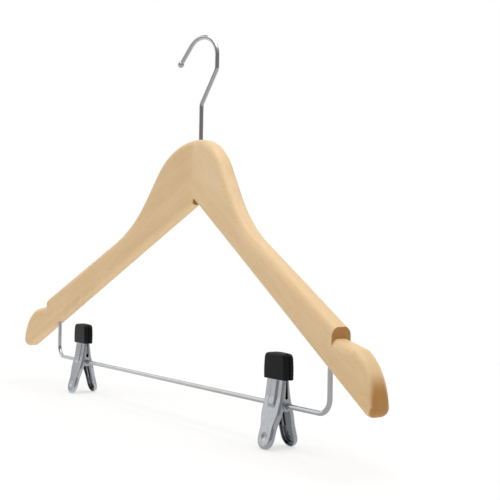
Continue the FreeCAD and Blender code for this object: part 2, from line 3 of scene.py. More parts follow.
import bmesh
import bpy
import numpy as np
from mathutils import Matrix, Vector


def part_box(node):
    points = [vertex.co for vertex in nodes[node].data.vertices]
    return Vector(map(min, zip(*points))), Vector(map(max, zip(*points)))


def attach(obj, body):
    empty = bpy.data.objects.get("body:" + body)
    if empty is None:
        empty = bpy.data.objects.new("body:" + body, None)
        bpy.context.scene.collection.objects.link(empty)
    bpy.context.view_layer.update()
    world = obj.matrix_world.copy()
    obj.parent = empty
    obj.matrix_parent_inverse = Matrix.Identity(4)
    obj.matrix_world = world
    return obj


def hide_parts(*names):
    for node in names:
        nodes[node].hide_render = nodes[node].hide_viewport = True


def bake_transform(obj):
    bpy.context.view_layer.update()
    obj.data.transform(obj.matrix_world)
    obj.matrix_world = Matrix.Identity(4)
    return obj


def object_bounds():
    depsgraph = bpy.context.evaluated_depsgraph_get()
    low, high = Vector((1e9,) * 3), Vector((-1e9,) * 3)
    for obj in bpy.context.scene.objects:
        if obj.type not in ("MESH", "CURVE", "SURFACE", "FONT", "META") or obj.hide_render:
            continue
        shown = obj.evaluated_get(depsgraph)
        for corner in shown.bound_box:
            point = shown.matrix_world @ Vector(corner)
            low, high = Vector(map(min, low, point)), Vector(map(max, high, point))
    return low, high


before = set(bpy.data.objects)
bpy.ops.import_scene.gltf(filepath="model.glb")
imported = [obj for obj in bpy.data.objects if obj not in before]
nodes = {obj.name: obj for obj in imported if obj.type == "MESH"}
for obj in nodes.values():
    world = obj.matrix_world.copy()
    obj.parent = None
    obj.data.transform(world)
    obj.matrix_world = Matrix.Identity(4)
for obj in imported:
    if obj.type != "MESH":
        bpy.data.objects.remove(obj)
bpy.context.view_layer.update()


# The arms of the board are two planks of pale hardwood, sawn to shape, rounded over on every long edge
# and sanded, then glued with a tongue under the hook. A satin lacquer lets the straight grain show, and
# the cut ends at the notches and the tips, which drink more of it, look browner. Their colour is also
# darker than end grain alone, as painted shade on the notch walls and the ends of the tips.

MM = 0.001                           # metres in a millimetre
GRAIN_SLOPE, GRAIN_SWEEP = 27.7, 8.6   # degrees, midway between an arm's long edges, and its plan
BAND_LENGTH, BAND_WIDTH = 170.0, 7.0
FIBRE_LENGTH, FIBRE_WIDTH = 30.0, 0.7   # real fibres are finer, and wouldn't show
FLECK_LENGTH, FLECK_WIDTH = 5.0, 0.45
BLOTCH_SIZE = 55.0
WOOD_PALE, WOOD_TAN = "#E5C699", "#DDBB8B"
WOOD_WARM, WOOD_FIBRE = "#E4BE8C", "#D0AB77"
# the end-grain tint is end-grain brown darkened further, as painted shade on the notch walls and tip ends
WOOD_FLECK, WOOD_END_AND_SHADE = "#BE955F", "#AE7A38"
MIX_A, MIX_B, MIX_RESULT = 6, 7, 2   # the colour sockets of a Mix node


def linear(code):
    """An sRGB hex colour as linear red, green, blue and alpha."""
    channels = np.array([int(code[i:i + 2], 16) for i in (1, 3, 5)]) / 255
    curve = np.where(channels <= 0.04045, channels / 12.92, ((channels + 0.055) / 1.055) ** 2.4)
    return (*curve.tolist(), 1.0)


def add_node(tree, kind, settings=None, inputs=None):
    """Adds a node: settings are its own properties, and an input gets a value or a link from a socket."""
    node = tree.nodes.new(kind)
    for name, value in (settings or {}).items():
        setattr(node, name, value)
    for name, value in (inputs or {}).items():
        if isinstance(value, bpy.types.NodeSocket):
            tree.links.new(value, node.inputs[name])
        else:
            node.inputs[name].default_value = value
    return node


def lacquered_hardwood(name, side, shift):
    """Pale straight-grained hardwood under satin lacquer.

    To the eye: soft growth bands and fine fibres along the arm, short ray flecks, a slow warm drift in
    colour, browner end grain where a face looks along the grain, darkened further there as painted shade,
    and a low sheen.
    """
    material = bpy.data.materials.new(name)
    material.use_nodes = True
    tree = material.node_tree
    shader = tree.nodes["Principled BSDF"]
    place = add_node(tree, "ShaderNodeTexCoord")
    slope, sweep = math.radians(GRAIN_SLOPE), math.radians(GRAIN_SWEEP)
    grain = add_node(tree, "ShaderNodeMapping", {}, {
        "Vector": place.outputs["Object"], "Rotation": (0, -side * slope, side * sweep), "Location": (shift, 0, 0)})
    patterns = {}
    for pattern, length, width, detail in (("band", BAND_LENGTH, BAND_WIDTH, 2.0),
                                           ("fibre", FIBRE_LENGTH, FIBRE_WIDTH, 3.0),
                                           ("fleck", FLECK_LENGTH, FLECK_WIDTH, 0.0),
                                           ("blotch", BLOTCH_SIZE, BLOTCH_SIZE / 2, 1.0)):
        stretched = add_node(tree, "ShaderNodeMapping", {}, {
            "Vector": grain.outputs["Vector"], "Scale": (1 / (length * MM), 1 / (width * MM), 1 / (width * MM))})
        patterns[pattern] = add_node(tree, "ShaderNodeTexNoise", {}, {
            "Vector": stretched.outputs["Vector"], "Scale": 1.0, "Detail": detail}).outputs["Fac"]
    looks_along = add_node(tree, "ShaderNodeVectorMath", {"operation": "DOT_PRODUCT"}, {
        0: place.outputs["Normal"], 1: (side * math.cos(slope), -math.sin(sweep), -math.sin(slope))})
    end_face = add_node(tree, "ShaderNodeMath", {"operation": "ABSOLUTE"}, {0: looks_along.outputs["Value"]})
    colour = linear(WOOD_PALE)
    # faces that look along the grain get the end-grain tint: end-grain brown darkened further as painted shade
    for factor, low, high, share, tint in ((patterns["band"], 0.35, 0.65, 0.6, WOOD_TAN),
                                           (patterns["blotch"], 0.45, 0.75, 0.5, WOOD_WARM),
                                           (patterns["fibre"], 0.48, 0.75, 0.35, WOOD_FIBRE),
                                           (patterns["fleck"], 0.68, 0.76, 0.25, WOOD_FLECK),
                                           (end_face.outputs["Value"], 0.42, 0.72, 0.9, WOOD_END_AND_SHADE)):
        amount = add_node(tree, "ShaderNodeMapRange", {"interpolation_type": "SMOOTHSTEP"}, {
            "Value": factor, "From Min": low, "From Max": high, "To Max": share})
        mixed = add_node(tree, "ShaderNodeMix", {"data_type": "RGBA"}, {
            "Factor": amount.outputs["Result"], MIX_A: colour, MIX_B: linear(tint)})
        colour = mixed.outputs[MIX_RESULT]
    tree.links.new(colour, shader.inputs["Base Color"])
    shader.inputs["Specular IOR Level"].default_value = 0.35
    sheen = add_node(tree, "ShaderNodeMapRange", {}, {
        "Value": patterns["fibre"], "From Min": 0.3, "From Max": 0.7, "To Min": 0.36, "To Max": 0.48})
    tree.links.new(sheen.outputs["Result"], shader.inputs["Roughness"])
    relief = add_node(tree, "ShaderNodeBump", {}, {
        "Height": patterns["fibre"], "Strength": 0.12, "Distance": 0.05 * MM})
    tree.links.new(relief.outputs["Normal"], shader.inputs["Normal"])
    return material


for arm, side, shift in (("left_arm", -1, 0.31), ("right_arm", 1, 0.0)):
    nodes[arm].material_slots[0].material = lacquered_hardwood(f"lacquered hardwood, {arm}", side, shift)


# The washer under the board is a small stamped ring of zinc-plated steel. The head of the hook pulls it
# against the foot of the counterbore, and the board turns on it.

ZINC, ZINC_DULL = "#B9BDC0", "#9DA1A4"
SPANGLE_SIZE = 1.5


def zinc_plated_steel(name):
    """Bright zinc over stamped steel: a cool grey metal, patchy between satin and dull."""
    material = bpy.data.materials.new(name)
    material.use_nodes = True
    tree = material.node_tree
    shader = tree.nodes["Principled BSDF"]
    shader.inputs["Metallic"].default_value = 1.0
    place = add_node(tree, "ShaderNodeTexCoord")
    patch = add_node(tree, "ShaderNodeTexNoise", {}, {
        "Vector": place.outputs["Object"], "Scale": 1 / (SPANGLE_SIZE * MM), "Detail": 3.0})
    tint = add_node(tree, "ShaderNodeMix", {"data_type": "RGBA"}, {
        "Factor": patch.outputs["Fac"], MIX_A: linear(ZINC), MIX_B: linear(ZINC_DULL)})
    tree.links.new(tint.outputs[MIX_RESULT], shader.inputs["Base Color"])
    haze = add_node(tree, "ShaderNodeMapRange", {}, {
        "Value": patch.outputs["Fac"], "To Min": 0.3, "To Max": 0.5})
    tree.links.new(haze.outputs["Result"], shader.inputs["Roughness"])
    return material


nodes["hook_washer"].material_slots[0].material = zinc_plated_steel("zinc-plated steel, washer")


# The hook is one length of chromed steel wire: a straight shank through the board with an upset head
# below, a slanted neck, a short upright, an open bow, and a ball formed on the nose so that it can't scratch.

HOOK_WIRE = 3.2
SHANK_RISE, BOW_RADIUS = 25.1, 14.1
NECK_SLANT, NECK_BEND = 30.7, 7.0
NOSE_ANGLE, NOSE_LENGTH = 40.3, 15.4
NOSE_BALL = 4.8
HOOK_TURN = 15.0
HEAD_WIDTH, HEAD_HEIGHT, HEAD_EDGE = 6.4, 2.0, 0.4
WIRE_STEP = 0.5
WIRE_SIDES = 36
CHROME, CHROME_SHADE = "#C6C7C9", "#B5B7B9"
CHROME_RIPPLE = 9.0


def unit(vectors):
    """Vectors of length one, along the last axis."""
    return vectors / np.linalg.norm(vectors, axis=-1, keepdims=True)


def rounded_line(corners, radii, step):
    """A line whose inner corners are arcs, cut every step.

    From its tangent point S an arc is S + r (sin t A + (1 - cos t) N), with A the way in and N the side
    that it turns to, for t from zero to the turn of the corner.
    """
    corners = np.asarray(corners, float)
    stretches = []
    last = corners[0]
    for before, corner, after, radius in zip(corners, corners[1:], corners[2:], radii):
        way_in, way_out = unit(corner - before), unit(after - corner)
        turn = math.acos(np.clip(way_in @ way_out, -1, 1))
        start = corner - way_in * radius * math.tan(turn / 2)
        side = unit(way_out - way_in * math.cos(turn))
        angle = np.linspace(0, turn, 2 + math.ceil(radius * turn / step))[:, None]
        stretches.append(np.linspace(last, start, 2 + int(np.linalg.norm(start - last) / step)))
        stretches.append(start + radius * (np.sin(angle) * way_in + (1 - np.cos(angle)) * side))
        last = stretches[-1][-1]
    stretches.append(np.linspace(last, corners[-1], 2 + int(np.linalg.norm(corners[-1] - last) / step)))
    return np.concatenate([stretch[:-1] for stretch in stretches] + [corners[-1:]])


def stations_of(line):
    """Distance along a line at each of its points."""
    return np.concatenate([[0.0], np.cumsum(np.linalg.norm(np.diff(line, axis=0), axis=1))])


def read_line(line, stations):
    """Points and headings of a line at the given distances along it."""
    own = stations_of(line)
    heading = unit(np.gradient(line, own, axis=0))
    point = np.stack([np.interp(stations, own, column) for column in line.T], axis=-1)
    return point, unit(np.stack([np.interp(stations, own, column) for column in heading.T], axis=-1))


def wire(line, stations, radius, square_to):
    """A round wire: P(s, a) = C(s) + r(s) (cos a N + sin a B).

    C is the line, N the fixed direction square_to made square to its heading T, and B is T x N.
    """
    centre, heading = read_line(line, stations)
    square_to = np.asarray(square_to, float)
    across = unit(square_to - (heading @ square_to)[:, None] * heading)
    other = np.cross(heading, across)
    angle = np.linspace(0, 2 * math.pi, WIRE_SIDES + 1)[None, :, None]
    ring = np.cos(angle) * across[:, None] + np.sin(angle) * other[:, None]
    return centre[:, None] + radius[:, None, None] * ring


def piece_of(name, grids, material, inside=None):
    """One smooth closed mesh of grids of points in millimetres.

    Neighbouring rows and columns make four-sided faces, points that meet are merged, and the faces are
    turned outwards. Where inside has a number for each grid, its faces carry that number as an attribute.
    """
    points, faces, count = [], [], 0
    for grid in grids:
        rows, columns = grid.shape[:2]
        index = count + np.arange(rows * columns).reshape(rows, columns)
        faces.append(np.stack([index[:-1, :-1], index[:-1, 1:], index[1:, 1:], index[1:, :-1]], -1).reshape(-1, 4))
        points.append(grid.reshape(-1, 3) * MM)
        count += rows * columns
    mesh = bpy.data.meshes.new(name)
    mesh.from_pydata(np.concatenate(points), [], np.concatenate(faces).tolist())
    if inside:
        marks = np.repeat(np.array(inside, np.float32), [len(part) for part in faces])
        mesh.attributes.new("inside", "FLOAT", "FACE").data.foreach_set("value", marks)
    shell = bmesh.new()
    shell.from_mesh(mesh)
    bmesh.ops.remove_doubles(shell, verts=shell.verts, dist=0.001 * MM)
    bmesh.ops.recalc_face_normals(shell, faces=shell.faces)
    shell.to_mesh(mesh)
    shell.free()
    mesh.shade_smooth()
    mesh.set_sharp_from_angle(angle=math.radians(40))
    mesh.materials.append(material)
    piece = bpy.data.objects.new(name, mesh)
    bpy.context.scene.collection.objects.link(piece)
    return piece


def chromed_wire(name):
    """Bright chromium on drawn steel wire: a near mirror, a little wavy from the drawing of the wire."""
    material = bpy.data.materials.new(name)
    material.use_nodes = True
    tree = material.node_tree
    shader = tree.nodes["Principled BSDF"]
    shader.inputs["Metallic"].default_value = 1.0
    place = add_node(tree, "ShaderNodeTexCoord")
    wave = add_node(tree, "ShaderNodeTexNoise", {}, {
        "Vector": place.outputs["Object"], "Scale": 1 / (CHROME_RIPPLE * MM), "Detail": 4.0})
    tint = add_node(tree, "ShaderNodeMix", {"data_type": "RGBA"}, {
        "Factor": wave.outputs["Fac"], MIX_A: linear(CHROME), MIX_B: linear(CHROME_SHADE)})
    tree.links.new(tint.outputs[MIX_RESULT], shader.inputs["Base Color"])
    haze = add_node(tree, "ShaderNodeMapRange", {}, {
        "Value": wave.outputs["Fac"], "From Min": 0.3, "From Max": 0.7, "To Min": 0.07, "To Max": 0.16})
    tree.links.new(haze.outputs["Result"], shader.inputs["Roughness"])
    return material


hook_low, hook_high = (np.array(corner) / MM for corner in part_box("hook"))
hook_out = np.array([math.cos(math.radians(HOOK_TURN)), math.sin(math.radians(HOOK_TURN)), 0.0])
hook_up = np.array([0.0, 0.0, 1.0])
slant, nose = math.radians(NECK_SLANT), math.radians(NOSE_ANGLE)
bow_height = hook_high[2] - HOOK_WIRE / 2 - BOW_RADIUS
neck_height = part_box("right_arm")[1].z / MM + SHANK_RISE
upright_foot = BOW_RADIUS * hook_out + (neck_height + BOW_RADIUS / math.tan(slant)) * hook_up
bow_angle = np.linspace(0, math.pi - nose, 1 + int(BOW_RADIUS * math.pi / WIRE_STEP))[:, None]
bow = bow_height * hook_up + BOW_RADIUS * (np.cos(bow_angle) * hook_out + np.sin(bow_angle) * hook_up)
shank = rounded_line([hook_low[2] * hook_up, neck_height * hook_up, upright_foot, bow[0]],
                     [NECK_BEND, NECK_BEND], WIRE_STEP)
nose_way = -math.sin(nose) * hook_out - math.cos(nose) * hook_up
nose_run = bow[-1] + np.linspace(0, NOSE_LENGTH + NOSE_BALL, 40)[:, None] * nose_way
hook_line = np.concatenate([shank[:-1], bow[:-1], nose_run])

ball_station = stations_of(hook_line)[-1] - NOSE_BALL
ball_angle = np.linspace(-math.acos(HOOK_WIRE / NOSE_BALL), math.pi / 2, 24)
edge_angle = np.linspace(0, math.pi / 2, 6)
edge_rise, edge_in = HEAD_EDGE * (1 - np.cos(edge_angle)), HEAD_EDGE * (1 - np.sin(edge_angle))
plain = stations_of(hook_line)
plain = plain[(plain > HEAD_HEIGHT) & (plain < ball_station - NOSE_BALL / 2)]
hook_stations = np.concatenate([[0.0], edge_rise, HEAD_HEIGHT - edge_rise[::-1], [HEAD_HEIGHT], plain,
                                ball_station + NOSE_BALL / 2 * np.sin(ball_angle)])
hook_radii = np.concatenate([[0.0], HEAD_WIDTH / 2 - edge_in, HEAD_WIDTH / 2 - edge_in[::-1], [HOOK_WIRE / 2],
                             np.full(len(plain), HOOK_WIRE / 2), NOSE_BALL / 2 * np.cos(ball_angle)])
hook_side = np.cross(hook_out, hook_up)
hook = piece_of("hook_wire", [wire(hook_line, hook_stations, hook_radii, hook_side)],
                chromed_wire("chromed steel wire, hook"))
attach(hook, "hook")
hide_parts("hook")


# The bar is a chromed steel wire bent up at both ends. The ends are pressed into blind bores in the lower
# edges of the arms, so the bar holds the arms at their angle and carries the clips.

BAR_WIRE = 3.0
BAR_BEND = 9.0
BAR_END = 0.5

bar_low, bar_high = (np.array(corner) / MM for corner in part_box("clip_bar"))
bar_half = bar_high[0] - BAR_WIRE / 2
bar_y = (bar_low[1] + bar_high[1]) / 2
bar_z = bar_low[2] + BAR_WIRE / 2
bar_line = rounded_line([(-bar_half, bar_y, bar_high[2]), (-bar_half, bar_y, bar_z),
                         (bar_half, bar_y, bar_z), (bar_half, bar_y, bar_high[2])], [BAR_BEND, BAR_BEND], WIRE_STEP)


def blunt_ends(line, radius, edge):
    """Stations and radii of a wire that is cut square, with a small chamfer at both ends."""
    along = stations_of(line)
    length = along[-1]
    inner = along[(along > edge) & (along < length - edge)]
    stations = np.concatenate([[0.0, 0.0, edge], inner, [length - edge, length, length]])
    ends = [0.0, radius - edge, radius]
    return stations, np.concatenate([ends, np.full(len(inner), radius), ends[::-1]])


bar = piece_of("clip_bar_wire", [wire(bar_line, *blunt_ends(bar_line, BAR_WIRE / 2, BAR_END), (0, 1, 0))],
               chromed_wire("chromed steel wire, bar"))
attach(bar, "board")
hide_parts("clip_bar")


# The pivot of each clip is a hollow rivet of nickel-plated steel that slides on the bar. Its ends are
# rolled over the ears of the levers and hold the clip together.

TUBE_BORE, TUBE_OUTER = 3.1, 4.3
RIM_WIDTH, RIM_THICKNESS, RIM_EDGE = 5.9, 0.5, 0.22
BORE_FLARE = 0.3
TUBE_SIDES = 48
NICKEL, NICKEL_SHADE = "#BFC1C6", "#ABAEB3"
# the inside tints are painted shade: the inner faces of a pressing are coloured darker than the outer ones
INSIDE_SHADE_LIGHT, INSIDE_SHADE_DARK = "#8C8E92", "#707277"
ROLL_LENGTH, ROLL_WIDTH = 16.0, 0.8   # real rolling marks are finer, and wouldn't show
CLIPS = ("left", "right")


def nickel_plated_sheet(name):
    """Nickel on pressed steel.

    To the eye: a bright grey satin metal with faint streaks along the rolled sheet, and painted shade on
    the inside of a pressing, whose faces are coloured darker.
    """
    material = bpy.data.materials.new(name)
    material.use_nodes = True
    tree = material.node_tree
    shader = tree.nodes["Principled BSDF"]
    shader.inputs["Metallic"].default_value = 1.0
    place = add_node(tree, "ShaderNodeTexCoord")
    rolled = add_node(tree, "ShaderNodeMapping", {}, {
        "Vector": place.outputs["Object"],
        "Scale": (1 / (ROLL_WIDTH * MM), 1 / (ROLL_WIDTH * MM), 1 / (ROLL_LENGTH * MM))})
    streak = add_node(tree, "ShaderNodeTexNoise", {}, {
        "Vector": rolled.outputs["Vector"], "Scale": 1.0, "Detail": 3.0})
    # faces marked as inside take the darker tints, which are painted shade
    inside = add_node(tree, "ShaderNodeAttribute", {"attribute_name": "inside"})
    bright, dull = (add_node(tree, "ShaderNodeMix", {"data_type": "RGBA"}, {
        "Factor": inside.outputs["Fac"], MIX_A: linear(outer_tint), MIX_B: linear(inner_tint)}).outputs[MIX_RESULT]
        for outer_tint, inner_tint in ((NICKEL, INSIDE_SHADE_LIGHT), (NICKEL_SHADE, INSIDE_SHADE_DARK)))
    tint = add_node(tree, "ShaderNodeMix", {"data_type": "RGBA"}, {
        "Factor": streak.outputs["Fac"], MIX_A: bright, MIX_B: dull})
    tree.links.new(tint.outputs[MIX_RESULT], shader.inputs["Base Color"])
    haze = add_node(tree, "ShaderNodeMapRange", {}, {
        "Value": streak.outputs["Fac"], "From Min": 0.3, "From Max": 0.7, "To Min": 0.2, "To Max": 0.32})
    tree.links.new(haze.outputs["Result"], shader.inputs["Roughness"])
    return material


def turned(profile, sides):
    """A turned piece about the X axis: P(p, a) = (x(p), r(p) cos a, r(p) sin a)."""
    angle = np.linspace(0, 2 * math.pi, sides + 1)
    x, r = profile.T
    return np.stack([np.repeat(x[:, None], sides + 1, 1), np.outer(r, np.cos(angle)), np.outer(r, np.sin(angle))], -1)


nickel = nickel_plated_sheet("nickel-plated steel, clips")
axes = {}
for clip in CLIPS:
    tube_low, tube_high = (np.array(corner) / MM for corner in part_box(f"{clip}_pivot_tube"))
    axes[clip] = np.array([(tube_low[0] + tube_high[0]) / 2, bar_y, bar_z])
    end = (tube_high[0] - tube_low[0]) / 2
    neck = end - RIM_THICKNESS
    tube_profile = rounded_line(
        [(0, TUBE_BORE / 2), (end, TUBE_BORE / 2), (end, RIM_WIDTH / 2), (neck, RIM_WIDTH / 2), (neck, TUBE_OUTER / 2),
         (-neck, TUBE_OUTER / 2), (-neck, RIM_WIDTH / 2), (-end, RIM_WIDTH / 2), (-end, TUBE_BORE / 2), (0, TUBE_BORE / 2)],
        [BORE_FLARE, RIM_EDGE, RIM_EDGE, RIM_EDGE, RIM_EDGE, RIM_EDGE, RIM_EDGE, BORE_FLARE], RIM_EDGE / 3)
    tube = piece_of(f"{clip}_pivot_rivet", [turned(tube_profile, TUBE_SIDES) + axes[clip]], nickel)
    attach(tube, f"{clip}_clip_carrier")
    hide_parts(f"{clip}_pivot_tube")


# The spring of each clip is hard-drawn steel wire: three turns loose on the rivet and a straight leg
# down the inside of each finger. It presses the fingers apart, so the jaws close.

SPRING_WIRE = 1.0
SPRING_END = 0.2
COIL_RADIUS, COIL_TURNS, COIL_LEAD = 3.4, 3, 1.5
LEG_LENGTH, LEG_LEAN = 15.0, 15.0
SPRING_BRIGHT, SPRING_DARK = "#B4B5B6", "#8E8F91"
DRAW_WIDTH = 0.6   # real draw marks are finer, and wouldn't show


def spring_wire_steel(name):
    """Hard-drawn spring steel with a thin zinc flash: darker than the sheet, with fine draw marks."""
    material = bpy.data.materials.new(name)
    material.use_nodes = True
    tree = material.node_tree
    shader = tree.nodes["Principled BSDF"]
    shader.inputs["Metallic"].default_value = 1.0
    place = add_node(tree, "ShaderNodeTexCoord")
    mark = add_node(tree, "ShaderNodeTexNoise", {}, {
        "Vector": place.outputs["Object"], "Scale": 1 / (DRAW_WIDTH * MM), "Detail": 2.0})
    tint = add_node(tree, "ShaderNodeMix", {"data_type": "RGBA"}, {
        "Factor": mark.outputs["Fac"], MIX_A: linear(SPRING_BRIGHT), MIX_B: linear(SPRING_DARK)})
    tree.links.new(tint.outputs[MIX_RESULT], shader.inputs["Base Color"])
    haze = add_node(tree, "ShaderNodeMapRange", {}, {
        "Value": mark.outputs["Fac"], "To Min": 0.18, "To Max": 0.34})
    tree.links.new(haze.outputs["Result"], shader.inputs["Roughness"])
    return material


# the coil is a helix about the bar, C(t) = (lead t / 2 pi, R cos t, R sin t), and its legs leave it straight
lean = math.radians(LEG_LEAN)
coil_first, coil_last = lean, math.pi - lean + 2 * math.pi * COIL_TURNS
coil_angle = np.linspace(coil_first, coil_last, 40 * COIL_TURNS + 20)
coil_run = (coil_angle - (coil_first + coil_last) / 2) / (2 * math.pi) * COIL_LEAD
coil = np.stack([coil_run, COIL_RADIUS * np.cos(coil_angle), COIL_RADIUS * np.sin(coil_angle)], -1)
coil_way = unit(np.stack([np.full_like(coil_angle, COIL_LEAD / (2 * math.pi)),
                          -COIL_RADIUS * np.sin(coil_angle), COIL_RADIUS * np.cos(coil_angle)], -1))
leg = np.linspace(LEG_LENGTH, 0, 12)[:, None]
spring_line = np.concatenate([coil[0] - leg * coil_way[0], coil[1:-1], coil[-1] + leg[::-1] * coil_way[-1]])
spring_form = wire(spring_line, *blunt_ends(spring_line, SPRING_WIRE / 2, SPRING_END), (1, 0, 0))
spring_steel = spring_wire_steel("spring steel wire")
for clip in CLIPS:
    spring = piece_of(f"{clip}_spring_coil", [spring_form + axes[clip]], spring_steel)
    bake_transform(spring)
    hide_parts(f"{clip}_spring")


# Each lever is one pressing of nickel-plated sheet: a jaw blade, ears round the rivet, and a splayed finger
# with turned-in edges, a stiffening rib down its middle and a round dimple for the thumb.

SHEET = 0.8
JAW_FACE, JAW_TOP, CAP_FOOT = 2.4, 28.1, 14.4
BEND_FACE, BEND_HEIGHT, BEND_RADIUS = 3.84, 4.21, 14.0
FOOT_FACE, FOOT_HEIGHT = 11.51, -24.4
FRONT_WIDTH, REAR_WIDTH, FINGER_WIDTH = 17.0, 15.0, 13.0
SHOULDER_DROP, TAPER_HEIGHT, SHOULDER_ROUND = 5.0, 7.0, 6.0
EDGE_BEND = 1.5
BLADE_FLANGE, WAIST_FLANGE, FINGER_FLANGE = 1.6, 2.3, 3.0
EAR_RADIUS, EAR_BORE = 3.4, 4.42
RIB_WIDTH, RIB_SLOPE, RIB_HEIGHT, RIB_FADE, RIB_FOOT = 7.6, 1.3, 0.7, 2.5, -1.5
DIMPLE_WIDTH, DIMPLE_DEPTH, DIMPLE_RISE = 6.0, 0.55, 7.0
ROW_STEP = 0.3


def smooth_step(low, high, value):
    """Rises from 0 at low to 1 at high, level at both ends."""
    t = np.clip((value - low) / (high - low), 0, 1)
    return t * t * (3 - 2 * t)


def pressed_lever(half_width):
    """Grids of a lever, outside and inside in turn and its top edge last, with y outwards from the bar.

    Flat, a point lies at (x, s, h): across, along the web's outer face, and out of it. Rows follow the
    outline. Columns start at the middle line, cross the web, turn through the bend, run down the flange, go
    round its edge and come back inside. Last, (s, h) is carried to C(s) + h N(s), C being the web's side view.
    """
    side_view = rounded_line([(JAW_FACE, JAW_TOP), (JAW_FACE, CAP_FOOT), (BEND_FACE, BEND_HEIGHT),
                              (FOOT_FACE, FOOT_HEIGHT)], [BEND_RADIUS, BEND_RADIUS], ROW_STEP)
    length = stations_of(side_view)[-1]
    waist = length - (BEND_HEIGHT - FOOT_HEIGHT) * length / (JAW_TOP - FOOT_HEIGHT)
    station_of_height = np.interp([-SHOULDER_DROP, -SHOULDER_DROP - TAPER_HEIGHT, CAP_FOOT, RIB_FOOT],
                                  side_view[::-1, 1], stations_of(side_view)[::-1])
    shoulder, finger, blade_end, rib_end = station_of_height
    tip = FINGER_WIDTH / 2
    turn = np.linspace(0, math.pi / 2, 28)[1:]
    outline = np.concatenate([
        rounded_line([(half_width, 0), (half_width, shoulder), (tip, finger), (tip, length - tip)],
                     [SHOULDER_ROUND, SHOULDER_ROUND], ROW_STEP),
        np.stack([tip * np.cos(turn), length - tip + tip * np.sin(turn)], -1)])
    way = unit(np.gradient(outline, stations_of(outline), axis=0))
    way[-1] = -1, 0  # square to the middle line, so that the mirrored half meets this one at the tip
    outline[-1, 0] = 0
    inward = np.stack([-way[:, 1], way[:, 0]], -1)
    x, s = outline.T
    middle = np.minimum(s, length - tip)

    centre, heading = read_line(side_view, s)
    outwards = np.stack([-heading[:, 1], heading[:, 0]], -1)
    past_axis = (centre * heading).sum(-1)
    ear = (centre * outwards).sum(-1) + np.sqrt(np.clip(EAR_RADIUS ** 2 - past_axis ** 2, 0, None))
    strip = np.interp(s, [blade_end, waist - EAR_RADIUS, waist + EAR_RADIUS],
                      [BLADE_FLANGE, WAIST_FLANGE, FINGER_FLANGE])
    depth = np.where(np.abs(past_axis) < EAR_RADIUS, np.maximum(ear, strip), strip) - SHEET / 2

    web = np.linspace(0, 1, 13)
    bend = np.linspace(math.pi / 2, 0, 7)
    down = np.linspace(0, 1, 9)
    rim = np.linspace(0, math.pi, 8)
    inset = [np.tile(EDGE_BEND * (1 - np.cos(bend)), (len(x), 1)),
             np.zeros((len(x), len(down))),
             np.tile(SHEET / 2 * (1 - np.cos(rim)), (len(x), 1)),
             np.full((len(x), len(down)), SHEET),
             np.tile(EDGE_BEND - (EDGE_BEND - SHEET) * np.cos(bend[::-1]), (len(x), 1))]
    fall = -EDGE_BEND - down * (depth[:, None] - EDGE_BEND)
    level = [np.tile(EDGE_BEND * (np.sin(bend) - 1), (len(x), 1)),
             fall,
             -depth[:, None] - SHEET / 2 * np.sin(rim),
             fall[:, ::-1],
             np.tile((EDGE_BEND - SHEET) * np.sin(bend[::-1]) - EDGE_BEND, (len(x), 1))]
    inset, level = np.concatenate(inset, 1), np.concatenate(level, 1)
    edge = np.stack([x[:, None] + inward[:, :1] * inset, s[:, None] + inward[:, 1:] * inset], -1)
    core = np.stack([np.zeros_like(x), middle], -1)[:, None]
    outer_web = core + web[None, :-1, None] * (edge[:, :1] - core)
    inner_web = core + web[None, -2::-1, None] * (edge[:, -1:] - core)
    flat = np.concatenate([outer_web, edge, inner_web], 1)
    height = np.concatenate([np.zeros(outer_web.shape[:2]), level, np.full(inner_web.shape[:2], -SHEET)], 1)

    across, along = flat[..., 0], flat[..., 1]
    rib = RIB_HEIGHT * (1 - smooth_step(RIB_WIDTH / 2 - RIB_SLOPE, RIB_WIDTH / 2, np.abs(across)))
    rib_span = smooth_step(0, RIB_FADE, along) * (1 - smooth_step(rib_end - RIB_FADE, rib_end, along))
    from_dimple = np.hypot(across, along - (length - DIMPLE_RISE)) / (DIMPLE_WIDTH / 2)
    dimple = DIMPLE_DEPTH * (1 + np.cos(math.pi * np.clip(from_dimple, 0, 1))) / 2
    height = height + rib * rib_span - dimple

    centre, heading = read_line(side_view, along.ravel())
    outwards = np.stack([-heading[:, 1], heading[:, 0]], -1)
    placed = (centre + outwards * height.reshape(-1, 1)).reshape(*along.shape, 2)
    half = np.concatenate([across[..., None], placed], -1)
    fold = half.shape[1] // 2
    mirror = (-1, 1, 1)
    outer, inner = half[:, :fold + 1], half[:, fold:]
    top = np.stack([half[0, :fold], half[0, :-fold - 1:-1]])
    top = np.concatenate([top[:, ::-1] * mirror, top], 1)
    return [outer, inner, outer * mirror, inner * mirror, top]


def bore_ears(piece, axis):
    """Cuts the holes for the rivet through both ears."""
    bore = np.array([[-FRONT_WIDTH, 0.0], [-FRONT_WIDTH, EAR_BORE / 2], [FRONT_WIDTH, EAR_BORE / 2], [FRONT_WIDTH, 0.0]])
    drill = piece_of("drill", [turned(bore, TUBE_SIDES) + axis], nickel)
    cut = piece.modifiers.new("bore", "BOOLEAN")
    cut.object = drill
    cut.solver = "EXACT"
    bpy.context.view_layer.update()
    bored = bpy.data.meshes.new_from_object(piece.evaluated_get(bpy.context.evaluated_depsgraph_get()))
    bored.name = piece.name
    piece.modifiers.clear()
    piece.data = bored
    bored.set_sharp_from_angle(angle=math.radians(40))
    bpy.data.objects.remove(drill)


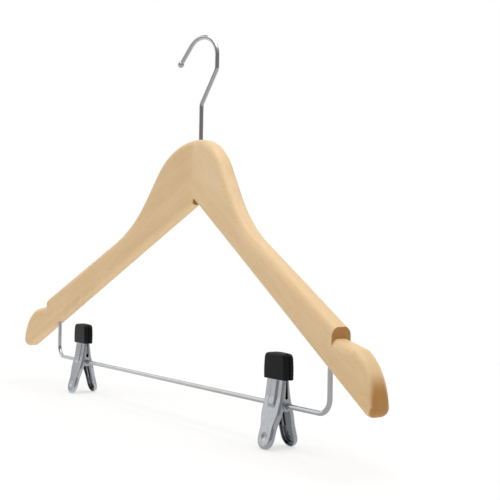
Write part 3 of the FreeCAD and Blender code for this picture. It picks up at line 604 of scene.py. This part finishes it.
for clip in CLIPS:
    for place, side, width in (("front", -1, FRONT_WIDTH), ("rear", 1, REAR_WIDTH)):
        grids = [grid * (1, side, 1) + axes[clip] for grid in pressed_lever(width / 2)]
        # the inner faces are marked as inside, and there the nickel is coloured darker as painted shade
        lever = piece_of(f"{clip}_{place}_lever_pressing", grids, nickel, inside=(0, 1, 0, 1, 0))
        bore_ears(lever, axes[clip])
        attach(lever, f"{clip}_clip_{place}")
        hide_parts(f"{clip}_{place}_lever")


# Each jaw cap is a moulded sleeve of soft black vinyl pushed over the blade, so that the jaw grips cloth
# without marking it. It tapers to a rounded top, and its gripping face has fine cross ribs.

CAP_WIDTH, CAP_HEIGHT, CAP_TAPER = 20.5, 15.0, 0.9
CAP_INNER, CAP_OUTER, CAP_BULGE = 0.1, 3.4, 0.25
CAP_CORNER, CAP_TOP_EDGE, CAP_FOOT_EDGE, CAP_CROWN = 3.0, 1.3, 0.4, 0.35
CAP_SIDE_EDGE, CAP_GRIP_EDGE = 1.3, 0.35
SLOT_PLAY = 0.05
TOOTH_PITCH, TOOTH_DEPTH = 2.2, 0.3
VINYL, VINYL_GREY = "#090A0B", "#121315"
VINYL_GRAIN, VINYL_CLOUD = 0.35, 6.0


def soft_vinyl(name):
    """Moulded soft vinyl: near-black, matt, with a fine leathery grain and faint grey clouding from handling."""
    material = bpy.data.materials.new(name)
    material.use_nodes = True
    tree = material.node_tree
    shader = tree.nodes["Principled BSDF"]
    place = add_node(tree, "ShaderNodeTexCoord")
    cloud = add_node(tree, "ShaderNodeTexNoise", {}, {
        "Vector": place.outputs["Object"], "Scale": 1 / (VINYL_CLOUD * MM), "Detail": 3.0})
    tint = add_node(tree, "ShaderNodeMix", {"data_type": "RGBA"}, {
        "Factor": cloud.outputs["Fac"], MIX_A: linear(VINYL), MIX_B: linear(VINYL_GREY)})
    tree.links.new(tint.outputs[MIX_RESULT], shader.inputs["Base Color"])
    shader.inputs["Specular IOR Level"].default_value = 0.18
    haze = add_node(tree, "ShaderNodeMapRange", {}, {
        "Value": cloud.outputs["Fac"], "To Min": 0.38, "To Max": 0.55})
    tree.links.new(haze.outputs["Result"], shader.inputs["Roughness"])
    grain = add_node(tree, "ShaderNodeTexNoise", {}, {
        "Vector": place.outputs["Object"], "Scale": 1 / (VINYL_GRAIN * MM), "Detail": 1.0})
    relief = add_node(tree, "ShaderNodeBump", {}, {
        "Height": grain.outputs["Fac"], "Strength": 0.3, "Distance": 0.05 * MM})
    tree.links.new(relief.outputs["Normal"], shader.inputs["Normal"])
    return material


def moulded_cap(half_blade):
    """The grid of a cap, with y outwards from the bar.

    Each row is the same rounded rectangle (u, v) at its own half width a, inner face i, outer face o and
    height z: P = (a u, i + (o - i) v, z). The rows run down the blind slot, round the foot, up the sides, over
    the rounded corners and in to the middle of the top.
    """
    half, top = CAP_WIDTH / 2, CAP_FOOT + CAP_HEIGHT
    loop = rounded_line([(0, CAP_INNER), (half, CAP_INNER), (half, CAP_OUTER), (-half, CAP_OUTER), (-half, CAP_INNER),
                         (0, CAP_INNER)], [CAP_GRIP_EDGE, CAP_SIDE_EDGE, CAP_SIDE_EDGE, CAP_GRIP_EDGE], 0.3)
    u, v = loop[:, 0] / half, (loop[:, 1] - CAP_INNER) / (CAP_OUTER - CAP_INNER)

    slot_in, slot_out = JAW_FACE - BLADE_FLANGE - SLOT_PLAY, JAW_FACE + SLOT_PLAY
    slot_half = half_blade + SLOT_PLAY
    slot = np.array([(0, JAW_FACE, JAW_FACE, JAW_TOP), (slot_half, slot_in, slot_out, JAW_TOP),
                     (slot_half, slot_in, slot_out, CAP_FOOT)])
    foot_turn = np.linspace(0, math.pi / 2, 5)
    foot_in, foot_z = CAP_FOOT_EDGE * (1 - np.sin(foot_turn)), CAP_FOOT + CAP_FOOT_EDGE * (1 - np.cos(foot_turn))
    foot = np.stack([half - foot_in, CAP_INNER + foot_in, CAP_OUTER - foot_in, foot_z], -1)
    rise = np.linspace(0, 1, 60)[1:]
    wall_z = foot_z[-1] + rise * (top - foot_z[-1])
    corner_fall = np.clip(wall_z - (top - CAP_CORNER), 0, None)
    edge_fall = np.clip(wall_z - (top - CAP_TOP_EDGE), 0, None)
    corner_in = CAP_CORNER - np.sqrt(np.clip(CAP_CORNER ** 2 - corner_fall ** 2, 0, None))
    edge_in = CAP_TOP_EDGE - np.sqrt(np.clip(CAP_TOP_EDGE ** 2 - edge_fall ** 2, 0, None))
    teeth = TOOTH_DEPTH * (1 - np.cos(2 * math.pi * (wall_z - CAP_FOOT) / TOOTH_PITCH)) / 2
    wall = np.stack([half - CAP_TAPER * rise ** 1.6 - corner_in,
                     CAP_INNER + teeth + edge_in * CAP_GRIP_EDGE / CAP_TOP_EDGE,
                     CAP_OUTER + CAP_BULGE * np.sin(math.pi * rise) - edge_in,
                     wall_z], -1)
    shrink = np.array([0.75, 0.5, 0.25, 0.0])[:, None]
    last = wall[-1]
    core = np.array([0.0, (last[1] + last[2]) / 2, (last[1] + last[2]) / 2, top])
    crown = core + (last - core) * shrink
    crown[:, 3] = top + CAP_CROWN * (1 - shrink[:, 0] ** 2)
    a, inner, outer, z = np.concatenate([slot, foot, wall, crown])[:, :, None].transpose(1, 0, 2)
    return np.stack(np.broadcast_arrays(a * u, inner + (outer - inner) * v, z), -1)


vinyl = soft_vinyl("soft vinyl, jaw caps")
for clip in CLIPS:
    for place, side, width in (("front", -1, FRONT_WIDTH), ("rear", 1, REAR_WIDTH)):
        cap = piece_of(f"{clip}_{place}_jaw_sleeve", [moulded_cap(width / 2) * (1, side, 1) + axes[clip]], vinyl)
        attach(cap, f"{clip}_clip_{place}")
        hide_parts(f"{clip}_{place}_jaw_cap")


# The studio is a white floor that runs out into a white room, a broad lamp above, a second one on the left,
# which the pads of the clips show, and a dim side towards the camera, which the metal shows as dark lines.

FLOOR_WHITE = "#F7F7F6"
FLOOR_SIZE = 6000.0
SHADOW_REACH, SHADOW_END, SHADOW_LIFT = 260.0, 600.0, 0.6   # past its reach the shadow fades into white
ROOM_LEVEL, ROOM_DIM, ROOM_DIM_ROUND = 0.55, 0.28, 0.4   # the last is the share of the dimming all round
FLOOR_DIM, FLOOR_DIM_EDGE = 0.65, 150.0   # the floor's dim side, as the metal shows it
AZIMUTH, ELEVATION, ROLL = 54.755, -0.814, 0.958
CAMERA_PLACE = (554.3, -347.7, -156.9)
FOCAL_PIXELS, IMAGE_PIXELS, SENSOR_WIDTH = 930.0, 500.0, 36.0

scene = bpy.context.scene
scene.view_settings.view_transform = "Standard"

right = np.array([math.cos(math.radians(AZIMUTH)), math.sin(math.radians(AZIMUTH)), 0.0])
back = np.array([math.sin(math.radians(AZIMUTH)) * math.cos(math.radians(ELEVATION)),
                 -math.cos(math.radians(AZIMUTH)) * math.cos(math.radians(ELEVATION)),
                 math.sin(math.radians(ELEVATION))])
up = np.cross(back, right)
roll = math.radians(ROLL)
camera_right = math.cos(roll) * right + math.sin(roll) * up
camera_up = math.cos(roll) * up - math.sin(roll) * right

floor_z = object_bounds()[0].z / MM
reach = FLOOR_SIZE / 2
steps = np.linspace(-reach, reach, 3)
floor_grid = np.stack([*np.meshgrid(steps, steps, indexing="ij"), np.full((3, 3), floor_z)], -1)
floor_paint = bpy.data.materials.new("white studio floor")
floor_paint.use_nodes = True
tree = floor_paint.node_tree
shader = tree.nodes["Principled BSDF"]
shader.inputs["Base Color"].default_value = linear(FLOOR_WHITE)
shader.inputs["Roughness"].default_value = 0.9
place = add_node(tree, "ShaderNodeTexCoord")
from_middle = add_node(tree, "ShaderNodeVectorMath", {"operation": "LENGTH"}, {0: place.outputs["Object"]})
away = add_node(tree, "ShaderNodeMapRange", {"interpolation_type": "SMOOTHSTEP"}, {
    "Value": from_middle.outputs["Value"], "From Min": SHADOW_REACH * MM, "From Max": SHADOW_END * MM,
    "To Min": SHADOW_LIFT})
towards_camera = add_node(tree, "ShaderNodeVectorMath", {"operation": "DOT_PRODUCT"}, {
    0: place.outputs["Object"], 1: tuple(back)})
dim_side = add_node(tree, "ShaderNodeMapRange", {"interpolation_type": "SMOOTHSTEP"}, {
    "Value": towards_camera.outputs["Value"], "From Min": -FLOOR_DIM_EDGE * MM, "From Max": FLOOR_DIM_EDGE * MM})
ray = add_node(tree, "ShaderNodeLightPath")
dim = add_node(tree, "ShaderNodeMath", {"operation": "MULTIPLY"}, {
    0: dim_side.outputs["Result"], 1: ray.outputs["Is Glossy Ray"]})
level = add_node(tree, "ShaderNodeMapRange", {}, {"Value": dim.outputs["Value"], "To Min": 1.0, "To Max": FLOOR_DIM})
glow = add_node(tree, "ShaderNodeEmission", {}, {"Color": (1, 1, 1, 1), "Strength": level.outputs["Result"]})
seen = add_node(tree, "ShaderNodeMath", {"operation": "MULTIPLY"}, {
    0: away.outputs["Result"], 1: ray.outputs["Is Camera Ray"]})
share = add_node(tree, "ShaderNodeMath", {"operation": "MAXIMUM"}, {
    0: seen.outputs["Value"], 1: ray.outputs["Is Glossy Ray"]})
blend = add_node(tree, "ShaderNodeMixShader", {}, {
    "Fac": share.outputs["Value"], 1: shader.outputs["BSDF"], 2: glow.outputs["Emission"]})
tree.links.new(blend.outputs["Shader"], tree.nodes["Material Output"].inputs["Surface"])
floor = piece_of("studio_floor", [floor_grid], floor_paint)

room = bpy.data.worlds.new("white room")
room.use_nodes = True
scene.world = room
tree = room.node_tree
way = add_node(tree, "ShaderNodeTexCoord")
towards_camera = add_node(tree, "ShaderNodeVectorMath", {"operation": "DOT_PRODUCT"}, {
    0: way.outputs["Generated"], 1: tuple(back)})
dim_side = add_node(tree, "ShaderNodeMapRange", {"interpolation_type": "SMOOTHSTEP"}, {
    "Value": towards_camera.outputs["Value"], "From Min": -0.3, "From Max": 0.5, "To Min": ROOM_DIM_ROUND})
height = add_node(tree, "ShaderNodeSeparateXYZ", {}, {"Vector": way.outputs["Generated"]})
dim_band = add_node(tree, "ShaderNodeMapRange", {"interpolation_type": "SMOOTHSTEP"}, {
    "Value": height.outputs["Z"], "From Min": 0.25, "From Max": 0.65, "To Min": 1.0, "To Max": 0.0})
dim = add_node(tree, "ShaderNodeMath", {"operation": "MULTIPLY"}, {
    0: dim_side.outputs["Result"], 1: dim_band.outputs["Result"]})
level = add_node(tree, "ShaderNodeMapRange", {}, {
    "Value": dim.outputs["Value"], "To Min": ROOM_LEVEL, "To Max": ROOM_DIM})
ray = add_node(tree, "ShaderNodeLightPath")
room_light = add_node(tree, "ShaderNodeBackground", {}, {"Color": (1, 1, 1, 1), "Strength": level.outputs["Result"]})
white = add_node(tree, "ShaderNodeBackground", {}, {"Color": (1, 1, 1, 1), "Strength": 1.0})
backdrop = add_node(tree, "ShaderNodeMapRange", {"interpolation_type": "SMOOTHSTEP"}, {
    "Value": towards_camera.outputs["Value"], "From Min": -0.85, "From Max": -0.45, "To Min": 1.0, "To Max": 0.0})
mirrored = add_node(tree, "ShaderNodeMath", {"operation": "MULTIPLY"}, {
    0: backdrop.outputs["Result"], 1: ray.outputs["Is Glossy Ray"]})
seen = add_node(tree, "ShaderNodeMath", {"operation": "MAXIMUM"}, {
    0: ray.outputs["Is Camera Ray"], 1: mirrored.outputs["Value"]})
either = add_node(tree, "ShaderNodeMixShader", {}, {
    "Fac": seen.outputs["Value"], 1: room_light.outputs["Background"], 2: white.outputs["Background"]})
tree.links.new(either.outputs["Shader"], tree.nodes["World Output"].inputs["Surface"])


def soft_lamp(name, place, target, size, power):
    """A square soft box that looks from its place to its target, both in millimetres."""
    lamp = bpy.data.lights.new(name, "AREA")
    lamp.size = size * MM
    lamp.energy = power
    stand = bpy.data.objects.new(name, lamp)
    look = unit(np.array(place, float) - np.array(target, float))
    side = unit(np.cross((0.0, 1.0, 0.1), look))
    stand.matrix_world = Matrix.Translation(np.array(place) * MM) @ Matrix(
        np.stack([side, np.cross(look, side), look], 1).tolist()).to_4x4()
    scene.collection.objects.link(stand)


middle = (0.0, 0.0, -150.0)
soft_lamp("top_soft_box", (200.0, 60.0, 900.0), middle, 1200.0, 11.0)
soft_lamp("left_soft_box", (-850.0, -560.0, 380.0), middle, 1100.0, 2.8)

lens = bpy.data.cameras.new("camera")
lens.sensor_width = SENSOR_WIDTH
lens.lens = FOCAL_PIXELS / IMAGE_PIXELS * SENSOR_WIDTH
lens.clip_start, lens.clip_end = 0.01, 20.0
camera = bpy.data.objects.new("camera", lens)
camera.matrix_world = Matrix.Translation(np.array(CAMERA_PLACE) * MM) @ Matrix(
    np.stack([camera_right, camera_up, back], 1).tolist()).to_4x4()
scene.collection.objects.link(camera)
scene.camera = camera
